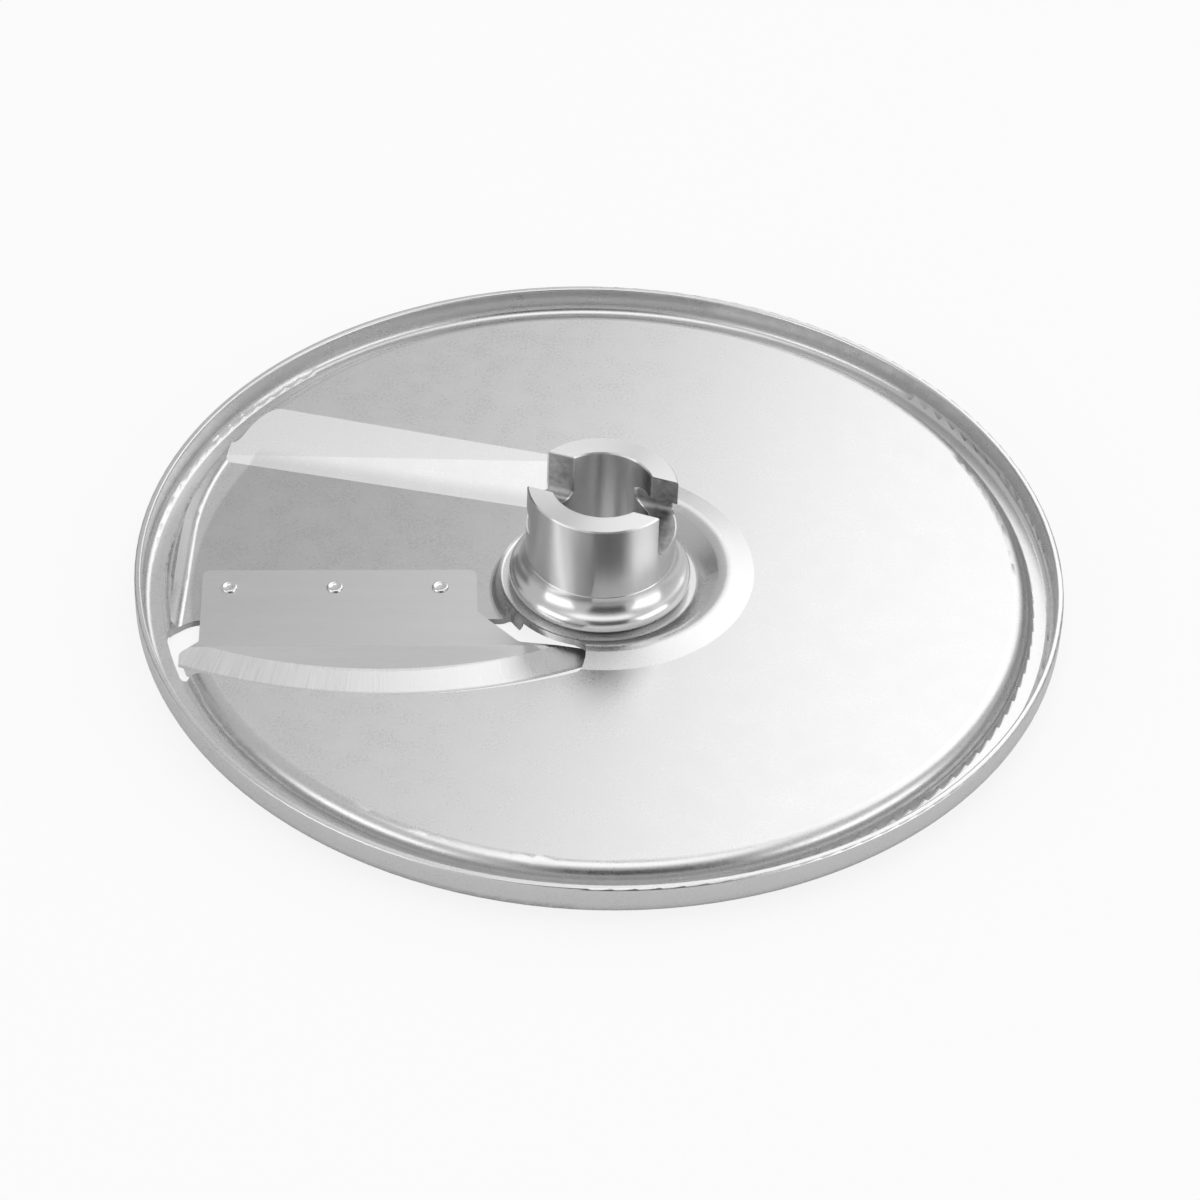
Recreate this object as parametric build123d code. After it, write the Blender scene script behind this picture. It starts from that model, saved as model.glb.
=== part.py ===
from build123d import *

import os
from math import cos, radians, sin, sqrt, tan

# Slicing plate of a food processor: pressed disc, turned drive hub, riveted blade.
# Sizes are in millimetres. The hub's axis is Z and the coupling side is up. The food meets
# the lower side, where the blade stands one slice below the floor.

# Disc: sheet, floor and rim
disc_diameter = 205.0
sheet = 1.5
slice_step = 5.0
channel_depth = 4.3
channel_width = 5.25
lip_rise = 2.1
roll_slope = 75.0
roll_bend = 3.9
channel_bend = 1.3
rim_bend = 1.8
lip_edge = 0.45

# Disc: hub seat and the bead round it
seat_depth = 2.8
seat_bend = 1.0
bead_gap = 1.65
bead_inner_width = 5.8
bead_outer_width = 6.6
bead_rise = 1.27
bead_bend = 4.0
crease_bend = 0.6

# Recess that carries the blade
recess_side_inset = 10.5
recess_rim_inset = 4.7
recess_corner = 80.0
recess_cut = 11.3
hub_wall_gap = 3.35
wall_draft = 15.0
foot_bend = 1.2
recess_start = -150.5
recess_end = 112.0
recess_past_apex = (1.0, 5.0)

# Ramp between the floor and the recess: points of its creases in plan
ramp_apex = (-2.0, 37.0)
ramp_upper_end = (-70.8, 51.4)
ramp_middle_end = (-84.0, 41.5)
ramp_foot_near = (-21.0, 28.4)
ramp_foot_far = (-93.0, 41.2)

# Opening for the slices
opening_rim_inset = 5.8
opening_setback = 9.7
opening_front = (-50.4, -44.7)
opening_front_radius = 115.3
opening_end_centre = (-15.0, -29.3)
opening_end_radius = 12.7
opening_hub_cut = 1.2
opening_far_corner = 8.0
opening_near_corner = 2.5
opening_inner_corner = 1.25

# Blade, in its own axes: u along the cutting edge, v away from it
blade_place = (-58.5, -3.95)
blade_turn = 3.6
blade_thickness = 1.0
blade_side_gap = 4.16
blade_hub_gap = 3.61
blade_rear = 5.95
blade_corner = 2.0
blade_small_corner = 1.0
blade_crease = -19.6
edge_front = (10.9, -34.3)
edge_radius = 112.1
edge_land = 0.08
bevel_slope = 6.8
facet_slope = 1.0
tip_gap = 1.0
arm_start = -8.3
arm_width = 8.85
arm_corner = -18.3
arm_end = -20.8
flare_start = -18.0
flare_out = 4.2
flare_side = -21.2
nub_out = 2.2
nub_width = 7.6
nub_front = -28.4
nub_end = -28.6

# Rivets
rivet_left_margin = 6.05
rivet_right_margin = 8.1
rivet_shank_radius = 1.25
rivet_head_radius = 1.9
rivet_head_height = 0.5
rivet_rim_radius = 1.43
rivet_wall_radius = 0.85
rivet_dimple_radius = 0.57
rivet_dimple_depth = 0.25
rivet_sink_radius = 2.1
rivet_sink_depth = 0.85
rivet_clearance = 0.05

# Hub
hub_radius = 16.5
hub_height = 26.4
bore_radius = 11.0
hub_floor = 1.8
flange_radius = 20.15
flange_height = 4.3
hub_fillet = 4.4
hub_step = 0.15
hub_edge = 0.3
spigot_radius = 13.0
spigot_lip = 1.5
spigot_lip_height = 0.8
spigot_clearance = 0.05

# Coupling slots in the hub
slot_angle = -18.0
slot_width = 13.0
slot_depth = 11.2
hook_height = 6.0
hook_reach = 3.8
slot_corner = 2.0

# Heights that follow
disc_radius = disc_diameter / 2
floor_under = sheet + slice_step
floor_top = floor_under + sheet
channel_top = floor_top - channel_depth
seat_top = floor_top - seat_depth
seat_under = seat_top - sheet
lip_top = floor_top + lip_rise
blade_top = sheet + blade_thickness
hub_top = seat_top + hub_height
beyond = 5.0

# Places that follow
bead_foot_radius = flange_radius + bead_gap
bead_apex_radius = bead_foot_radius + bead_inner_width
crease_radius = bead_apex_radius + bead_outer_width
recess_side = disc_radius - recess_side_inset
recess_radius = disc_radius - recess_rim_inset
hub_wall_radius = flange_radius + hub_wall_gap
opening_radius = disc_radius - opening_rim_inset
opening_hub_radius = hub_wall_radius - opening_hub_cut
blade_left = (blade_side_gap - recess_side - blade_place[0]) / cos(radians(blade_turn))
blade_right = -(hub_wall_radius + blade_hub_gap + blade_place[0]) / cos(radians(blade_turn))
blade_tip = -blade_place[0] - tip_gap
rivet_pitch = (blade_right - rivet_right_margin - blade_left - rivet_left_margin) / 2
rivet_first = blade_left + rivet_left_margin


def polar(radius, angle):
    """Point in plan at a radius and an angle."""
    return (radius * cos(radians(angle)), radius * sin(radians(angle)))


def turned(*edges):
    """Solid turned about Z from a closed outline of radius and height."""
    return revolve(Plane.XZ * make_face(edges), Axis.Z)


def rounded(plan, corners):
    """Outline with the corner nearest to each point rounded to its radius."""
    for point, radius in corners.items():
        plan = fillet(plan.vertices().sort_by_distance(point)[0], radius)
    return plan


def blade_axes():
    """Placement of the blade's own axes in plan."""
    return Location((*blade_place, 0), (0, 0, blade_turn))


def sheet_lines():
    """Upper and lower face of the sheet as two lines of radius and height."""
    rim_inner = disc_radius - sheet
    roll_foot = rim_inner - channel_width
    roll_top = roll_foot - channel_depth / tan(radians(roll_slope))
    corners = [
        (0, seat_top),
        (bead_foot_radius, seat_top),
        (bead_apex_radius, floor_top + bead_rise),
        (crease_radius, floor_top),
        (roll_top, floor_top),
        (roll_foot, channel_top),
        (rim_inner, channel_top),
        (rim_inner, lip_top),
    ]
    bends = [seat_bend, bead_bend, crease_bend, roll_bend, channel_bend, rim_bend]
    upper = FilletPolyline(*corners, radius=bends)
    lower = upper.offset_2d(-sheet, kind=Kind.ARC, side=Side.RIGHT, closed=False)
    return upper, lower


def plan_height(plane, point):
    """Height of a sloping plane above a point in plan."""
    normal = plane.z_dir
    reach = normal.X * (point[0] - plane.origin.X) + normal.Y * (point[1] - plane.origin.Y)
    return plane.origin.Z - reach / normal.Z


def plane_through(first, second, third):
    """Plane through three points, with its normal upwards."""
    origin = Vector(*first)
    normal = (Vector(*second) - origin).cross(Vector(*third) - origin).normalized()
    return Plane(origin=first, z_dir=normal if normal.Z > 0 else -normal)


def ramp_planes():
    """Lower and upper plane of the ramp, on the sheet's upper face."""
    apex = (*ramp_apex, floor_top)
    lower = plane_through(apex, (*ramp_foot_near, sheet), (*ramp_foot_far, sheet))
    middle = (*ramp_middle_end, plan_height(lower, ramp_middle_end))
    upper = plane_through(apex, (*ramp_upper_end, floor_top), middle)
    return lower, upper


def above_ramp(drop):
    """Space above the ramp, with the ramp lowered by a thickness."""
    size = 4 * disc_radius
    raised = Box(size, size, disc_radius, align=(Align.CENTER, Align.CENTER, Align.MIN))
    lower, upper = (plane.offset(-drop) for plane in ramp_planes())
    return lower.location * raised + upper.location * raised


def recess_plan(grow):
    """Outline of the recess at the foot of its wall, grown by a distance."""
    front = -opening_setback - recess_cut
    inner_end = (ramp_apex[0] + recess_past_apex[0], ramp_apex[1] + recess_past_apex[1])
    limits = make_face(Polyline(
        (-recess_side, front), (beyond - recess_side, front - beyond),
        (-hub_wall_radius, front - beyond), polar(hub_wall_radius - beyond, recess_start), (0, 0),
        polar(hub_wall_radius - beyond, recess_end), inner_end,
        (-disc_radius / 2, disc_radius), (-recess_side, disc_radius), close=True,
    ))
    plan = limits & Circle(recess_radius) - Circle(hub_wall_radius)
    far_corner = (-recess_side, sqrt(recess_radius**2 - recess_side**2))
    plan = rounded(plan, {far_corner: recess_corner})
    return offset(plan, grow, kind=Kind.INTERSECTION) if grow else plan


def recess_block(grow, bottom, bend, drop):
    """Tapered block of the recess above its ramp, with a bend round its foot."""
    plan = Pos(0, 0, bottom) * recess_plan(grow)
    block = extrude(plan, floor_top + beyond, taper=-wall_draft)
    foot = block.edges().filter_by_position(Axis.Z, bottom, bottom)
    return fillet(foot, bend) & above_ramp(drop)


def opening_plan():
    """Outline of the opening that the slices pass through, with rounded corners."""
    span = 4 * disc_radius
    half_plane = Rectangle(span, span)
    end_x, end_y = opening_end_centre
    front_x, front_y = opening_front
    front_centre_y = front_y + opening_front_radius
    plan = Circle(opening_radius) & Pos(front_x, front_centre_y) * Circle(opening_front_radius)
    plan &= blade_axes() * Pos(0, -opening_setback - span / 2) * half_plane
    plan &= Pos(end_x - span / 2, end_y) * half_plane + Pos(end_x, end_y) * Circle(opening_end_radius)
    plan -= Circle(opening_hub_radius)
    corners = {
        (-opening_radius, -opening_setback): opening_far_corner,
        (-opening_radius, front_y): opening_near_corner,
        (-opening_hub_radius, -opening_setback): opening_inner_corner,
        (end_x + opening_end_radius, front_y): opening_near_corner,
    }
    return rounded(plan, corners)


def slicing_disc():
    """Pressed disc: floor, rim channel, bead, hub seat, recess, ramp and opening."""
    upper, lower = sheet_lines()
    high = lip_top + 2 * beyond
    under_upper_face = turned(
        upper,
        Polyline((disc_radius - sheet, lip_top), (disc_radius + beyond, lip_top),
                 (disc_radius + beyond, -beyond), (0, -beyond), (0, seat_top)),
    )
    over_lower_face = turned(
        lower,
        Polyline((0, seat_under), (0, high), (disc_radius, high), (disc_radius, lip_top)),
    )
    grow = sheet / cos(radians(wall_draft)) - sheet * tan(radians(wall_draft))
    pad = recess_block(grow, 0, foot_bend + sheet, sheet)
    hollow = recess_block(0, sheet, foot_bend, 0)
    disc = (over_lower_face + pad) & under_upper_face
    disc -= hollow
    disc -= extrude(Pos(0, 0, -beyond) * opening_plan(), high + beyond)
    disc -= Cylinder(spigot_radius + spigot_clearance, 2 * high)
    for place in rivet_places():
        disc -= place * rivet_hole()
    lip = disc.edges().filter_by_position(Axis.Z, lip_top, lip_top)
    return fillet(lip, lip_edge)


def rivet_places():
    """Placements of the rivets along the blade's rear edge."""
    return [blade_axes() * Pos(rivet_first + step * rivet_pitch, 0, 0) for step in range(3)]


def rivet_hole():
    """Countersunk hole through the recess and the blade, with the rivet's clearance."""
    shank = rivet_shank_radius + rivet_clearance
    sink = rivet_sink_radius + rivet_clearance
    return turned(Polyline(
        (0, -beyond), (sink, -beyond), (sink, 0), (shank, rivet_sink_depth), (shank, beyond),
        (0, beyond), (0, -beyond),
    ))


def blade_rivet():
    """Countersunk rivet, flush below, with a dimpled head that has a raised rim."""
    top = blade_top + rivet_head_height
    dimple = top - rivet_dimple_depth
    rim = (rivet_rim_radius, top)
    floor_edge = (rivet_dimple_radius, dimple)
    return turned(
        Polyline((0, 0), (rivet_sink_radius, 0), (rivet_shank_radius, rivet_sink_depth),
                 (rivet_shank_radius, blade_top), (rivet_head_radius, blade_top)),
        TangentArc((rivet_head_radius, blade_top), rim, tangent=(0, 1)),
        ThreePointArc(rim, (rivet_wall_radius, (top + dimple) / 2), floor_edge),
        Polyline(floor_edge, (0, dimple), (0, 0)),
    )


def edge_centre():
    """Centre of the cutting edge's arc, in the blade's own axes."""
    return (edge_front[0], edge_front[1] + edge_radius)


def blade_plan():
    """Outline of the blade in its own axes, with its flared left end and its inner arm."""
    far = 3 * blade_tip
    arm = (blade_right + arm_width, arm_corner)
    flare = (blade_left - flare_out, flare_side)
    nub = (blade_left - nub_out, nub_front)
    outline = make_face(Polyline(
        (blade_left, blade_rear), (blade_right, blade_rear), (blade_right, arm_start), arm,
        (blade_tip, arm_end), (blade_tip, -far), (nub[0], -far), flare, (blade_left, flare_start),
        close=True,
    ))
    corner = make_face(Polyline(
        (blade_left, flare_start), flare, nub, (nub[0] + nub_width, nub_end), close=True))
    plan = outline & Pos(*edge_centre()) * Circle(edge_radius) + corner
    corners = {
        (blade_left, blade_rear): blade_corner,
        (blade_right, blade_rear): blade_corner,
        (blade_right, arm_start): blade_corner,
        arm: blade_corner,
        (blade_tip, arm_end): blade_small_corner,
        (blade_left, flare_start): blade_small_corner,
        flare: blade_corner,
        nub: blade_small_corner,
    }
    return rounded(plan, corners)


def cutting_blade():
    """Blade: flat plate with a facet before its bevel, ground on a cone to the edge."""
    plate = extrude(Pos(0, 0, sheet) * blade_plan(), blade_thickness)
    size = 4 * blade_tip
    waste = Box(size, size, size, align=(Align.CENTER, Align.MAX, Align.MIN))
    plate -= Pos(0, blade_crease, blade_top) * Rot(facet_slope, 0, 0) * waste
    low = sheet + edge_land
    rise = edge_radius / 2 * tan(radians(bevel_slope))
    bevel = turned(Polyline(
        (edge_radius / 2, low + rise), (edge_radius, low), (edge_radius + beyond, low),
        (edge_radius + beyond, low + 2 * rise), (edge_radius / 2, low + 2 * rise),
        (edge_radius / 2, low + rise),
    ))
    plate -= Pos(*edge_centre()) * bevel
    plate = blade_axes() * plate
    for place in rivet_places():
        plate -= place * rivet_hole()
    return plate


def coupling_slot(angle):
    """Slot through the hub's wall, with a pocket under its hook."""
    radial = Plane(origin=(0, 0, 0), x_dir=(*polar(1, angle + 90), 0), z_dir=(*polar(1, angle), 0))
    bottom = hub_top - slot_depth
    hook = hub_top - hook_height
    pocket = Pos(hook_reach / 2, (bottom + hook) / 2) * RectangleRounded(
        slot_width + hook_reach, hook - bottom, slot_corner)
    mouth_low = bottom + slot_corner
    mouth_high = hub_top + beyond
    mouth = Pos(0, (mouth_low + mouth_high) / 2) * Rectangle(slot_width, mouth_high - mouth_low)
    return extrude(radial * (pocket + mouth), flange_radius)


def drive_hub():
    """Turned hub: slotted cylinder, rounded flange and a spigot closed over the sheet."""
    nose = flange_height / 2
    nose_radius = flange_radius - nose
    nose_height = seat_top + nose
    neck_radius = hub_radius + hub_step
    fillet_radius_at = neck_radius + hub_fillet
    reach = hub_fillet + nose
    neck_top = nose_height + sqrt(reach**2 - (fillet_radius_at - nose_radius) ** 2)
    share = nose / reach
    meet = (nose_radius + share * (fillet_radius_at - nose_radius),
            nose_height + share * (neck_top - nose_height))
    bottom = seat_under - spigot_lip_height
    body = turned(
        Polyline((0, seat_top + hub_floor), (0, bottom), (spigot_radius + spigot_lip, bottom),
                 (spigot_radius + spigot_lip, seat_under), (spigot_radius, seat_under),
                 (spigot_radius, seat_top), (nose_radius, seat_top)),
        ThreePointArc((nose_radius, seat_top), (flange_radius, nose_height), meet),
        TangentArc((neck_radius, neck_top), meet, tangent=(0, -1)),
        Polyline((neck_radius, neck_top), (hub_radius, neck_top + hub_step),
                 (hub_radius, hub_top - hub_edge), (hub_radius - hub_edge, hub_top),
                 (bore_radius + hub_edge, hub_top), (bore_radius, hub_top - hub_edge),
                 (bore_radius, seat_top + hub_floor), (0, seat_top + hub_floor)),
    )
    for angle in (slot_angle, slot_angle + 180):
        body -= coupling_slot(angle)
    return body


def build():
    """Write one file for each piece."""
    os.makedirs("parts", exist_ok=True)
    pieces = {"slicing_disc": slicing_disc(), "drive_hub": drive_hub(), "cutting_blade": cutting_blade()}
    for number, place in enumerate(rivet_places(), 1):
        pieces[f"blade_rivet_{number}"] = place * blade_rivet()
    for name, piece in pieces.items():
        export_step(piece, f"parts/{name}.step")


if __name__ == "__main__":
    build()
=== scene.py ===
"""Slicing plate of a food processor: steel finishes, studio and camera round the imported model."""
from math import cos, pi, radians, sin

import bpy
from bpy.props import FloatProperty, FloatVectorProperty, PointerProperty
from mathutils import Matrix, Vector


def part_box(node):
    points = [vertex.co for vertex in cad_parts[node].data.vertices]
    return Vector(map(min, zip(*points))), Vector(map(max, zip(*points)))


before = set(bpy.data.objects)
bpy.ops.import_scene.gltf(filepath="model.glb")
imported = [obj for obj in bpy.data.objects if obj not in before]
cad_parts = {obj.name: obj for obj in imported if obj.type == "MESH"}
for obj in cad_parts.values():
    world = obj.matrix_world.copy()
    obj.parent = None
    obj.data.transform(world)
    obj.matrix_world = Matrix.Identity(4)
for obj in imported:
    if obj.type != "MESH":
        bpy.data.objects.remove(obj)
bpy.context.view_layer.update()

bl_info = {
    "name": "Slicing plate",
    "version": (1, 0, 0),
    "blender": (4, 5, 0),
    "location": "3D View > Sidebar > Slicing plate",
    "description": "Steel finishes, soft studio and camera for the slicing plate",
    "category": "Object",
}

MM = 0.001
RIVETS = [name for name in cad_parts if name.startswith("blade_rivet")]


class SteelFinish(bpy.types.PropertyGroup):
    """Colours and roughness of the plate's steels."""

    disc_colour: FloatVectorProperty(
        name="Disc", description="Colour of the pressed sheet", subtype="COLOR", size=3,
        min=0, max=1, default=(0.66, 0.66, 0.66))
    hub_colour: FloatVectorProperty(
        name="Hub", description="Colour of the turned hub", subtype="COLOR", size=3,
        min=0, max=1, default=(0.72, 0.72, 0.72))
    blade_colour: FloatVectorProperty(
        name="Blade", description="Colour of the blade", subtype="COLOR", size=3,
        min=0, max=1, default=(0.60, 0.60, 0.60))
    disc_roughness: FloatProperty(
        name="Disc roughness", description="Satin of the sheet", subtype="FACTOR",
        min=0, max=1, default=0.30)
    blade_roughness: FloatProperty(
        name="Blade roughness", description="Satin of the blade's flat", subtype="FACTOR",
        min=0, max=1, default=0.34)
    hub_roughness: FloatProperty(
        name="Hub roughness", description="Polish of the hub", subtype="FACTOR",
        min=0, max=1, default=0.24)


class PlateSizes(bpy.types.PropertyGroup):
    """Places on the plate where a finish or the painted recess shade begins or ends."""

    # Below this height, inside the rim radius, the sheet is painted 20% darker: painted shade in the
    # recess.
    recess_shade_height: FloatProperty(
        name="Recess height", description="Height below which the sheet has the recess's finish",
        subtype="DISTANCE", unit="LENGTH", default=4 * MM)
    # Outside this radius the sheet gets no painted recess shade; the rim is given no finish of its own.
    rim_radius: FloatProperty(
        name="Rim radius", description="Radius outside which the sheet has the rim's drawn finish",
        subtype="DISTANCE", unit="LENGTH", default=91 * MM)
    bore_radius: FloatProperty(
        name="Bore radius", description="Inside of the hub's wall",
        subtype="DISTANCE", unit="LENGTH", default=11 * MM)
    hub_radius: FloatProperty(
        name="Hub radius", description="Outside of the hub's wall",
        subtype="DISTANCE", unit="LENGTH", default=16.5 * MM)
    blade_place: FloatVectorProperty(
        name="Blade place", description="Origin of the blade's own axes, on its upper face",
        subtype="XYZ", size=3, unit="LENGTH", default=(-58.5 * MM, -3.95 * MM, 2.5 * MM))
    blade_turn: FloatProperty(
        name="Blade turn", description="Turn of the blade's own axes", subtype="ANGLE",
        unit="ROTATION", default=radians(3.6))
    blade_crease: FloatProperty(
        name="Blade crease", description="Place of the facet's crease in the blade's own axes",
        subtype="DISTANCE", unit="LENGTH", default=-19.6 * MM)
    edge_centre: FloatVectorProperty(
        name="Edge centre", description="Centre of the cutting edge's arc in the blade's own axes",
        subtype="XYZ", size=3, unit="LENGTH", default=(10.9 * MM, 77.8 * MM, 0))
    bevel_radius: FloatProperty(
        name="Bevel radius", description="Radius round the edge's centre where the bevel begins",
        subtype="DISTANCE", unit="LENGTH", default=104.7 * MM)


class StudioSet(bpy.types.PropertyGroup):
    """Camera, floor and light."""

    camera_distance: FloatProperty(
        name="Camera distance", description="From the aim to the camera", subtype="DISTANCE",
        unit="LENGTH", default=0.85)
    camera_height: FloatProperty(
        name="Camera elevation", description="Angle of the view over the floor", subtype="ANGLE",
        unit="ROTATION", default=radians(41.24))
    camera_roll: FloatProperty(
        name="Camera roll", description="Turn of the camera about its view", subtype="ANGLE",
        unit="ROTATION", default=radians(2.2))
    camera_aim: FloatProperty(
        name="Aim height", description="Height of the point aimed at", subtype="DISTANCE",
        unit="LENGTH", default=-0.0099)
    lens: FloatProperty(
        name="Lens", description="Focal length on a 36 mm sensor, in millimetres", default=113.47)
    shift_x: FloatProperty(name="Shift X", description="Sideways shift of the frame", default=0.0021)
    shift_y: FloatProperty(name="Shift Y", description="Upward shift of the frame", default=0.0232)
    world_level: FloatProperty(
        name="Surround", description="Brightness of the surround", default=0.62)
    floor_share: FloatProperty(
        name="Floor white", description="Share of plain white in the floor that the camera sees",
        subtype="FACTOR", min=0, max=1, default=0.85)


class Nodes:
    """Adds nodes to a node tree and links what they are given."""

    def __init__(self, tree):
        self.tree = tree

    def add(self, kind, *values, **settings):
        """Node with its settings, and its inputs in order: a socket is linked, a value is set."""
        node = self.tree.nodes.new(kind)
        for name, value in settings.items():
            setattr(node, name, value)
        for place, value in enumerate(values):
            self.put(node.inputs[place], value)
        return node

    def put(self, socket, value):
        """Link a socket to another, or set it to a value; None leaves it alone."""
        if isinstance(value, bpy.types.NodeSocket):
            self.tree.links.new(value, socket)
        elif value is not None:
            socket.default_value = value

    def math(self, operation, first, second=None, third=None):
        """Result of a math node."""
        return self.add("ShaderNodeMath", first, second, third, operation=operation).outputs[0]

    def between(self, value, start, end, low=0.0, high=1.0):
        """Value that goes smoothly from low at the start to high at the end."""
        node = self.add("ShaderNodeMapRange", value, start, end, low, high,
                        interpolation_type="SMOOTHSTEP")
        return node.outputs[0]

    def parts(self, vector):
        """The three numbers of a vector."""
        return self.add("ShaderNodeSeparateXYZ", vector).outputs[:3]

    def vector(self, x, y, z):
        """Vector of three numbers."""
        return self.add("ShaderNodeCombineXYZ", x, y, z).outputs[0]

    def noise(self, vector, scale, detail=2.0):
        """Noise from 0 to 1 at a scale, in turns per metre of the vector."""
        node = self.add("ShaderNodeTexNoise")
        self.put(node.inputs["Vector"], vector)
        self.put(node.inputs["Scale"], scale)
        node.inputs["Detail"].default_value = detail
        return node.outputs[0]

    def mixed(self, share, first, second):
        """Number that goes from the first to the second with a share."""
        node = self.add("ShaderNodeMix", share)
        self.put(node.inputs["A"], first)
        self.put(node.inputs["B"], second)
        return node.outputs[0]

    def scaled(self, colour, factor):
        """Colour times a number."""
        node = self.add("ShaderNodeVectorMath", colour, operation="SCALE")
        self.put(node.inputs["Scale"], factor)
        return node.outputs[0]

    def bump(self, height, distance, strength=1.0):
        """Normal of a small relief."""
        node = self.add("ShaderNodeBump")
        node.inputs["Strength"].default_value = strength
        node.inputs["Distance"].default_value = distance
        self.put(node.inputs["Height"], height)
        return node.outputs[0]

    def group(self, tree, **values):
        """Node of a shared group, with its inputs by name."""
        node = self.add("ShaderNodeGroup", node_tree=tree)
        for name, value in values.items():
            self.put(node.inputs[name], value)
        return node.outputs


def new_group(name, inputs, outputs):
    """Empty shader group with named sockets, its builder, and its first and last node."""
    tree = bpy.data.node_groups.new(name, "ShaderNodeTree")
    for socket, kind in inputs.items():
        tree.interface.new_socket(socket, in_out="INPUT", socket_type=f"NodeSocket{kind}")
    for socket, kind in outputs.items():
        tree.interface.new_socket(socket, in_out="OUTPUT", socket_type=f"NodeSocket{kind}")
    nodes = Nodes(tree)
    return tree, nodes, nodes.add("NodeGroupInput").outputs, nodes.add("NodeGroupOutput").inputs


def grain_group():
    """Fine and broad mottling of steel: a tone near 1, its roughness and its relief."""
    name = "steel_grain"
    if name in bpy.data.node_groups:
        return bpy.data.node_groups[name]
    inputs = {"Vector": "Vector", "Fine": "Float", "Broad": "Float", "Contrast": "Float",
              "Roughness": "Float", "Spread": "Float"}
    outputs = {"Tone": "Float", "Roughness": "Float", "Height": "Float"}
    tree, nodes, given, result = new_group(name, inputs, outputs)
    fine = nodes.noise(given["Vector"], given["Fine"], 3)
    broad = nodes.noise(given["Vector"], given["Broad"], 3)
    mottle = nodes.math("ADD", fine, nodes.math("MULTIPLY", broad, 0.6))
    centred = nodes.math("SUBTRACT", mottle, 0.8)
    nodes.put(result["Tone"], nodes.math("MULTIPLY_ADD", centred, given["Contrast"], 1))
    nodes.put(result["Roughness"],
              nodes.math("MULTIPLY_ADD", centred, given["Spread"], given["Roughness"]))
    nodes.put(result["Height"], fine)
    return tree


def ring_group():
    """Radius, angle and height of a point round the plate's axis."""
    name = "round_the_axis"
    if name in bpy.data.node_groups:
        return bpy.data.node_groups[name]
    tree, nodes, given, result = new_group(
        name, {"Vector": "Vector"}, {"Radius": "Float", "Angle": "Float", "Height": "Float"})
    x, y, z = nodes.parts(given["Vector"])
    flat = nodes.vector(x, y, 0)
    nodes.put(result["Radius"], nodes.add("ShaderNodeVectorMath", flat, operation="LENGTH").outputs[1])
    nodes.put(result["Angle"], nodes.math("ARCTAN2", y, x))
    nodes.put(result["Height"], z)
    return tree


def steel(name, roughness, **constants):
    """New metal material: its builder, its shader and the Object coordinates."""
    material = bpy.data.materials.new(name)
    material.use_nodes = True
    material.node_tree.nodes.clear()
    nodes = Nodes(material.node_tree)
    shader = nodes.add("ShaderNodeBsdfPrincipled")
    shader.inputs["Metallic"].default_value = 1
    shader.inputs["Roughness"].default_value = roughness
    for socket, value in constants.items():
        shader.inputs[socket].default_value = value
    nodes.add("ShaderNodeOutputMaterial", shader.outputs[0])
    place = nodes.add("ShaderNodeTexCoord").outputs["Object"]
    return material, nodes, shader.inputs, place


def assign(node, material):
    """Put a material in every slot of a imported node."""
    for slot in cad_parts[node].material_slots:
        slot.material = material


class DressDisc(bpy.types.Operator):
    """Give the pressed disc its satin sheet, with painted shade in its recess"""

    bl_idname = "plate.dress_disc"
    bl_label = "Dress the disc"

    def execute(self, context):
        look = context.scene.plate_steel
        sizes = context.scene.plate_sizes
        material, nodes, shader, place = steel("satin_sheet", look.disc_roughness)
        ring = nodes.group(ring_group(), Vector=place)
        grain = nodes.group(grain_group(), Vector=place, Fine=1500, Broad=160, Contrast=0.12,
                            Roughness=look.disc_roughness, Spread=0.16)
        # Painted shade: the recess, low and inside the rim, is painted 20% darker than the rest of the
        # sheet.
        inside = nodes.between(ring["Radius"], sizes.rim_radius, sizes.rim_radius - MM)
        low = nodes.between(ring["Height"], sizes.recess_shade_height, sizes.recess_shade_height / 2)
        recess = nodes.math("MULTIPLY", inside, low)
        tone = nodes.math("MULTIPLY", grain["Tone"], nodes.math("MULTIPLY_ADD", recess, -0.2, 1))
        nodes.put(shader["Base Color"], nodes.scaled(tuple(look.disc_colour), tone))
        nodes.put(shader["Roughness"], grain["Roughness"])
        nodes.put(shader["Normal"], nodes.bump(grain["Height"], 0.01 * MM, 0.5))
        assign("slicing_disc", material)
        return {"FINISHED"}


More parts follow.
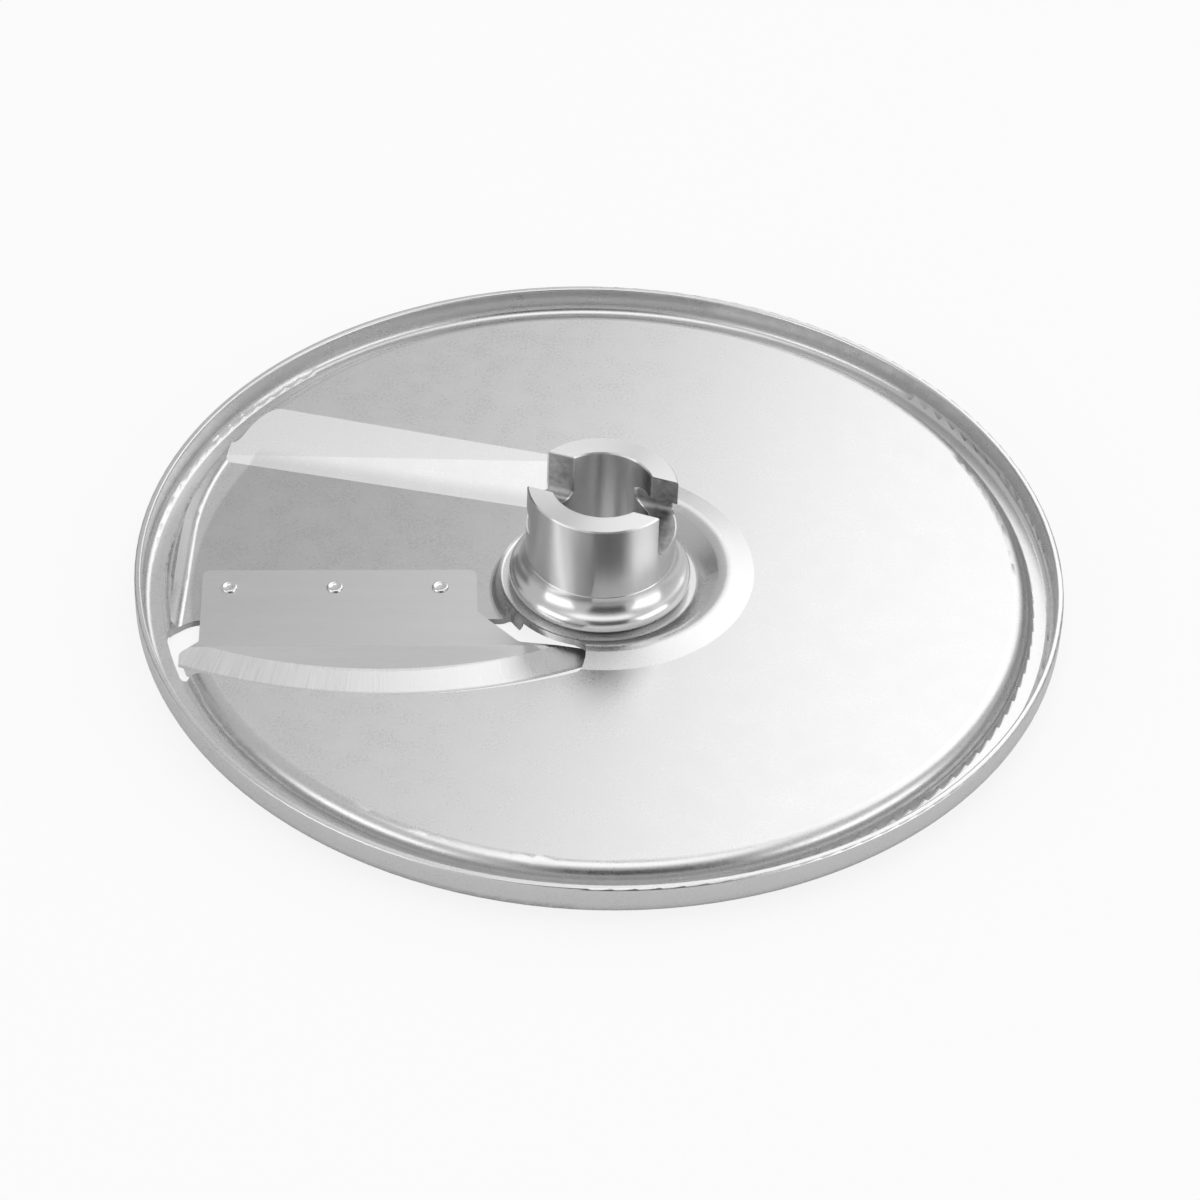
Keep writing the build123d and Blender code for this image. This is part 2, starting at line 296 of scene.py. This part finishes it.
class DressBlade(bpy.types.Operator):
    """Give the blade its brushed flat, a polished facet painted lighter as a sheen, and its cross-ground
    bevel
    """

    bl_idname = "plate.dress_blade"
    bl_label = "Dress the blade"

    def execute(self, context):
        look = context.scene.plate_steel
        sizes = context.scene.plate_sizes
        material, nodes, shader, place = steel("ground_blade", look.blade_roughness)
        axes = nodes.add("ShaderNodeMapping", place, tuple(sizes.blade_place),
                         (0, 0, sizes.blade_turn), vector_type="TEXTURE").outputs[0]
        u, v, w = nodes.parts(axes)
        brushed = nodes.group(grain_group(), Vector=nodes.vector(nodes.math("MULTIPLY", u, 0.06), v, w),
                              Fine=3500, Broad=300, Contrast=0.10,
                              Roughness=look.blade_roughness, Spread=0.12)
        arm = nodes.add("ShaderNodeVectorMath", axes, tuple(sizes.edge_centre), operation="SUBTRACT")
        across, along, depth = nodes.parts(arm.outputs[0])
        reach = nodes.add("ShaderNodeVectorMath", nodes.vector(across, along, 0), operation="LENGTH")
        reach = reach.outputs[1]
        sweep = nodes.math("ARCTAN2", across, nodes.math("MULTIPLY", along, -1))
        ground = nodes.group(grain_group(),
                             Vector=nodes.vector(nodes.math("MULTIPLY", sweep, 0.1),
                                                 nodes.math("MULTIPLY", reach, 0.03), 0),
                             Fine=2500, Broad=260, Contrast=0.22, Roughness=0.3, Spread=0.2)
        bevel = nodes.between(reach, sizes.bevel_radius - 0.1 * MM, sizes.bevel_radius + 0.1 * MM)
        facet = nodes.between(v, sizes.blade_crease + 0.1 * MM, sizes.blade_crease - 0.1 * MM)
        top = nodes.between(w, -0.9 * MM, -0.8 * MM)
        facet = nodes.math("MULTIPLY", facet, top)
        bevel = nodes.math("MULTIPLY", bevel, top)
        tone = nodes.mixed(bevel, brushed["Tone"], ground["Tone"])
        # Painted sheen: the facet's colour is made 30% lighter; its polish is the roughness of 0.1 below.
        facet_sheen = nodes.math("MULTIPLY_ADD", facet, 0.3, 1)
        nodes.put(shader["Base Color"],
                  nodes.scaled(tuple(look.blade_colour), nodes.math("MULTIPLY", tone, facet_sheen)))
        rough = nodes.mixed(facet, brushed["Roughness"], 0.1)
        nodes.put(shader["Roughness"], nodes.mixed(bevel, rough, ground["Roughness"]))
        height = nodes.mixed(bevel, brushed["Height"], ground["Height"])
        nodes.put(shader["Normal"], nodes.bump(height, 0.005 * MM, 0.5))
        assign("cutting_blade", material)
        return {"FINISHED"}


class DressRivets(bpy.types.Operator):
    """Give the rivets their upset, lightly scuffed steel"""

    bl_idname = "plate.dress_rivets"
    bl_label = "Dress the rivets"

    def execute(self, context):
        look = context.scene.plate_steel
        material, nodes, shader, place = steel("upset_rivet", look.blade_roughness)
        grain = nodes.group(grain_group(), Vector=place, Fine=2500, Broad=700, Contrast=0.3,
                            Roughness=0.22, Spread=0.2)
        nodes.put(shader["Base Color"], nodes.scaled(tuple(look.hub_colour), grain["Tone"]))
        nodes.put(shader["Roughness"], grain["Roughness"])
        nodes.put(shader["Normal"], nodes.bump(grain["Height"], 0.02 * MM, 0.6))
        for name in RIVETS:
            assign(name, material)
        return {"FINISHED"}


class DressHub(bpy.types.Operator):
    """Give the hub its turned steel and its milled slots"""

    bl_idname = "plate.dress_hub"
    bl_label = "Dress the hub"

    def execute(self, context):
        look = context.scene.plate_steel
        sizes = context.scene.plate_sizes
        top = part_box("drive_hub")[1][2]
        material, nodes, shader, place = steel(
            "turned_hub", look.hub_roughness, **{"Anisotropic": 0.85, "Anisotropic Rotation": 0.25})
        ring = nodes.group(ring_group(), Vector=place)
        turned = nodes.group(grain_group(), Vector=nodes.vector(ring["Radius"], ring["Height"], 0),
                             Fine=5000, Broad=900, Contrast=0.08,
                             Roughness=look.hub_roughness, Spread=0.08)
        milled = nodes.group(grain_group(), Vector=place, Fine=900, Broad=350, Contrast=0.9,
                             Roughness=0.42, Spread=0.3)
        outside = nodes.between(ring["Radius"], sizes.hub_radius - 0.2 * MM, sizes.hub_radius - 0.4 * MM)
        inside = nodes.between(ring["Radius"], sizes.bore_radius + 0.2 * MM, sizes.bore_radius + 0.4 * MM)
        under = nodes.between(ring["Height"], top - 0.2 * MM, top - 0.5 * MM)
        slot = nodes.math("MULTIPLY", nodes.math("MULTIPLY", inside, outside), under)
        # The slot faces are given a tone 0.6 times that of the turned steel, with a coarser, rougher
        # grain.
        tone = nodes.mixed(slot, turned["Tone"], nodes.math("MULTIPLY", milled["Tone"], 0.6))
        nodes.put(shader["Base Color"], nodes.scaled(tuple(look.hub_colour), tone))
        nodes.put(shader["Roughness"], nodes.mixed(slot, turned["Roughness"], milled["Roughness"]))
        height = nodes.mixed(slot, turned["Height"], nodes.math("MULTIPLY", milled["Height"], 20))
        nodes.put(shader["Normal"], nodes.bump(height, 0.002 * MM, 0.4))
        circling = nodes.add("ShaderNodeTangent", direction_type="RADIAL", axis="Z").outputs[0]
        nodes.put(shader["Tangent"], circling)
        assign("drive_hub", material)
        return {"FINISHED"}


def aimed(position, target):
    """Rotation that turns -Z from a position to a target."""
    return (Vector(target) - Vector(position)).to_track_quat("-Z", "Y").to_matrix().to_4x4()


def round_the_plate(azimuth, elevation, distance):
    """Place round the plate that faces it: azimuth 0 is in front, and grows to the right."""
    a, e = radians(azimuth), radians(elevation)
    place = Vector((sin(a) * cos(e), -cos(a) * cos(e), sin(e))) * distance
    return Matrix.Translation(place) @ aimed(place, (0, 0, 0))


def softbox(name, azimuth, elevation, distance, width, height, level):
    """Area light round the plate, as bright as its level."""
    data = bpy.data.lights.new(name, "AREA")
    data.shape = "RECTANGLE"
    data.size, data.size_y = width, height
    data.energy = level * pi * width * height
    light = bpy.data.objects.new(name, data)
    light.matrix_world = round_the_plate(azimuth, elevation, distance)
    light.visible_camera = False
    bpy.context.scene.collection.objects.link(light)


def glow_material(name, level):
    """Plain glow at a level, for what only reflections see."""
    material = bpy.data.materials.new(name)
    material.use_nodes = True
    material.node_tree.nodes.clear()
    nodes = Nodes(material.node_tree)
    glow = nodes.add("ShaderNodeEmission", (level, level, level, 1))
    nodes.add("ShaderNodeOutputMaterial", glow.outputs[0])
    return material


def stage_sheet(name, width, height, placement, material):
    """Flat sheet of the stage."""
    x, y = width / 2, height / 2
    mesh = bpy.data.meshes.new(name)
    mesh.from_pydata([(-x, -y, 0), (x, -y, 0), (x, y, 0), (-x, y, 0)], [], [(0, 1, 2, 3)])
    mesh.transform(placement)
    mesh.materials.append(material)
    piece = bpy.data.objects.new(name, mesh)
    bpy.context.scene.collection.objects.link(piece)
    return piece


def card(name, azimuth, elevation, distance, width, height, level):
    """Card round the plate that only reflections see."""
    piece = stage_sheet(name, width, height, round_the_plate(azimuth, elevation, distance),
                        glow_material(name, level))
    piece.visible_camera = False
    piece.visible_diffuse = False
    piece.visible_shadow = False


class BuildStage(bpy.types.Operator):
    """Build the floor, the lights and the camera"""

    bl_idname = "plate.build_stage"
    bl_label = "Build the stage"

    def execute(self, context):
        studio = context.scene.plate_studio
        scene = context.scene
        scene.view_settings.view_transform = "Standard"
        self.camera(scene, studio)
        self.floor(studio)
        self.world(scene, studio)
        softbox("back_softbox", 150, 45, 1.4, 1.1, 1.0, 1.05)
        softbox("top_softbox", 10, 85, 1.2, 0.9, 0.7, 1.0)
        softbox("left_softbox", -55, 22, 1.2, 0.8, 0.8, 1.4)
        softbox("right_softbox", 68, 22, 1.2, 0.8, 0.8, 1.4)
        card("camera_side_card", 13, 32, 1.1, 0.85, 0.9, 0.04)
        card("left_card", -125, 15, 1.3, 0.9, 0.6, 0.15)
        return {"FINISHED"}

    def camera(self, scene, studio):
        """Camera at the photographed angle, rolled about its own view."""
        elevation = studio.camera_height
        target = Vector((0, 0, studio.camera_aim))
        place = target + studio.camera_distance * Vector((0, -cos(elevation), sin(elevation)))
        data = bpy.data.cameras.new("camera")
        data.lens = studio.lens
        data.sensor_width = 36
        data.shift_x = studio.shift_x
        data.shift_y = studio.shift_y
        camera = bpy.data.objects.new("camera", data)
        roll = Matrix.Rotation(studio.camera_roll, 4, "Z")
        camera.matrix_world = Matrix.Translation(place) @ aimed(place, target) @ roll
        scene.collection.objects.link(camera)
        scene.camera = camera

    def floor(self, studio):
        """Pale floor that the camera sees as near white, with the plate's soft shadow."""
        size = 6.0
        material = bpy.data.materials.new("pale_floor")
        material.use_nodes = True
        material.node_tree.nodes.clear()
        nodes = Nodes(material.node_tree)
        paint = nodes.add("ShaderNodeBsdfDiffuse", (0.8, 0.8, 0.8, 1)).outputs[0]
        white = nodes.add("ShaderNodeEmission", (1, 1, 1, 1)).outputs[0]
        seen = nodes.add("ShaderNodeLightPath").outputs["Is Camera Ray"]
        share = nodes.math("MULTIPLY", seen, studio.floor_share)
        mix = nodes.add("ShaderNodeMixShader", share, paint, white)
        nodes.add("ShaderNodeOutputMaterial", mix.outputs[0])
        stage_sheet("floor", size, size, Matrix.Translation((0, 0, -0.3 * MM)), material)

    def world(self, scene, studio):
        """Surround: white to the camera, and a plain level to the plate."""
        world = bpy.data.worlds.new("surround")
        world.use_nodes = True
        world.node_tree.nodes.clear()
        nodes = Nodes(world.node_tree)
        lit = nodes.add("ShaderNodeBackground", (1, 1, 1, 1), studio.world_level).outputs[0]
        white = nodes.add("ShaderNodeBackground", (1, 1, 1, 1), 1).outputs[0]
        seen = nodes.add("ShaderNodeLightPath").outputs["Is Camera Ray"]
        mix = nodes.add("ShaderNodeMixShader", seen, lit, white)
        nodes.add("ShaderNodeOutputWorld", mix.outputs[0])
        scene.world = world


class PlatePanel(bpy.types.Panel):
    """Lists the plate's sizes, finishes and steps"""

    bl_idname = "VIEW3D_PT_slicing_plate"
    bl_label = "Slicing plate"
    bl_space_type = "VIEW_3D"
    bl_region_type = "UI"
    bl_category = "Slicing plate"

    def draw(self, context):
        for settings in (context.scene.plate_sizes, context.scene.plate_steel, context.scene.plate_studio):
            column = self.layout.column(align=True)
            for name in settings.__annotations__:
                column.prop(settings, name)
        for step in STEPS:
            self.layout.operator(step.bl_idname)


STEPS = (DressDisc, DressBlade, DressRivets, DressHub, BuildStage)
CLASSES = (SteelFinish, PlateSizes, StudioSet, *STEPS, PlatePanel)


def register():
    """Register the classes and hang the settings on the scene."""
    for item in CLASSES:
        bpy.utils.register_class(item)
    bpy.types.Scene.plate_steel = PointerProperty(type=SteelFinish)
    bpy.types.Scene.plate_sizes = PointerProperty(type=PlateSizes)
    bpy.types.Scene.plate_studio = PointerProperty(type=StudioSet)


def unregister():
    """Take the settings and the classes away again."""
    del bpy.types.Scene.plate_studio
    del bpy.types.Scene.plate_sizes
    del bpy.types.Scene.plate_steel
    for item in reversed(CLASSES):
        bpy.utils.unregister_class(item)


def main():
    """Dress the plate, build the stage and note the sizes."""
    register()
    bpy.ops.plate.dress_disc()
    bpy.ops.plate.dress_blade()
    bpy.ops.plate.dress_rivets()
    bpy.ops.plate.dress_hub()
    bpy.ops.plate.build_stage()


if __name__ == "__main__":
    main()
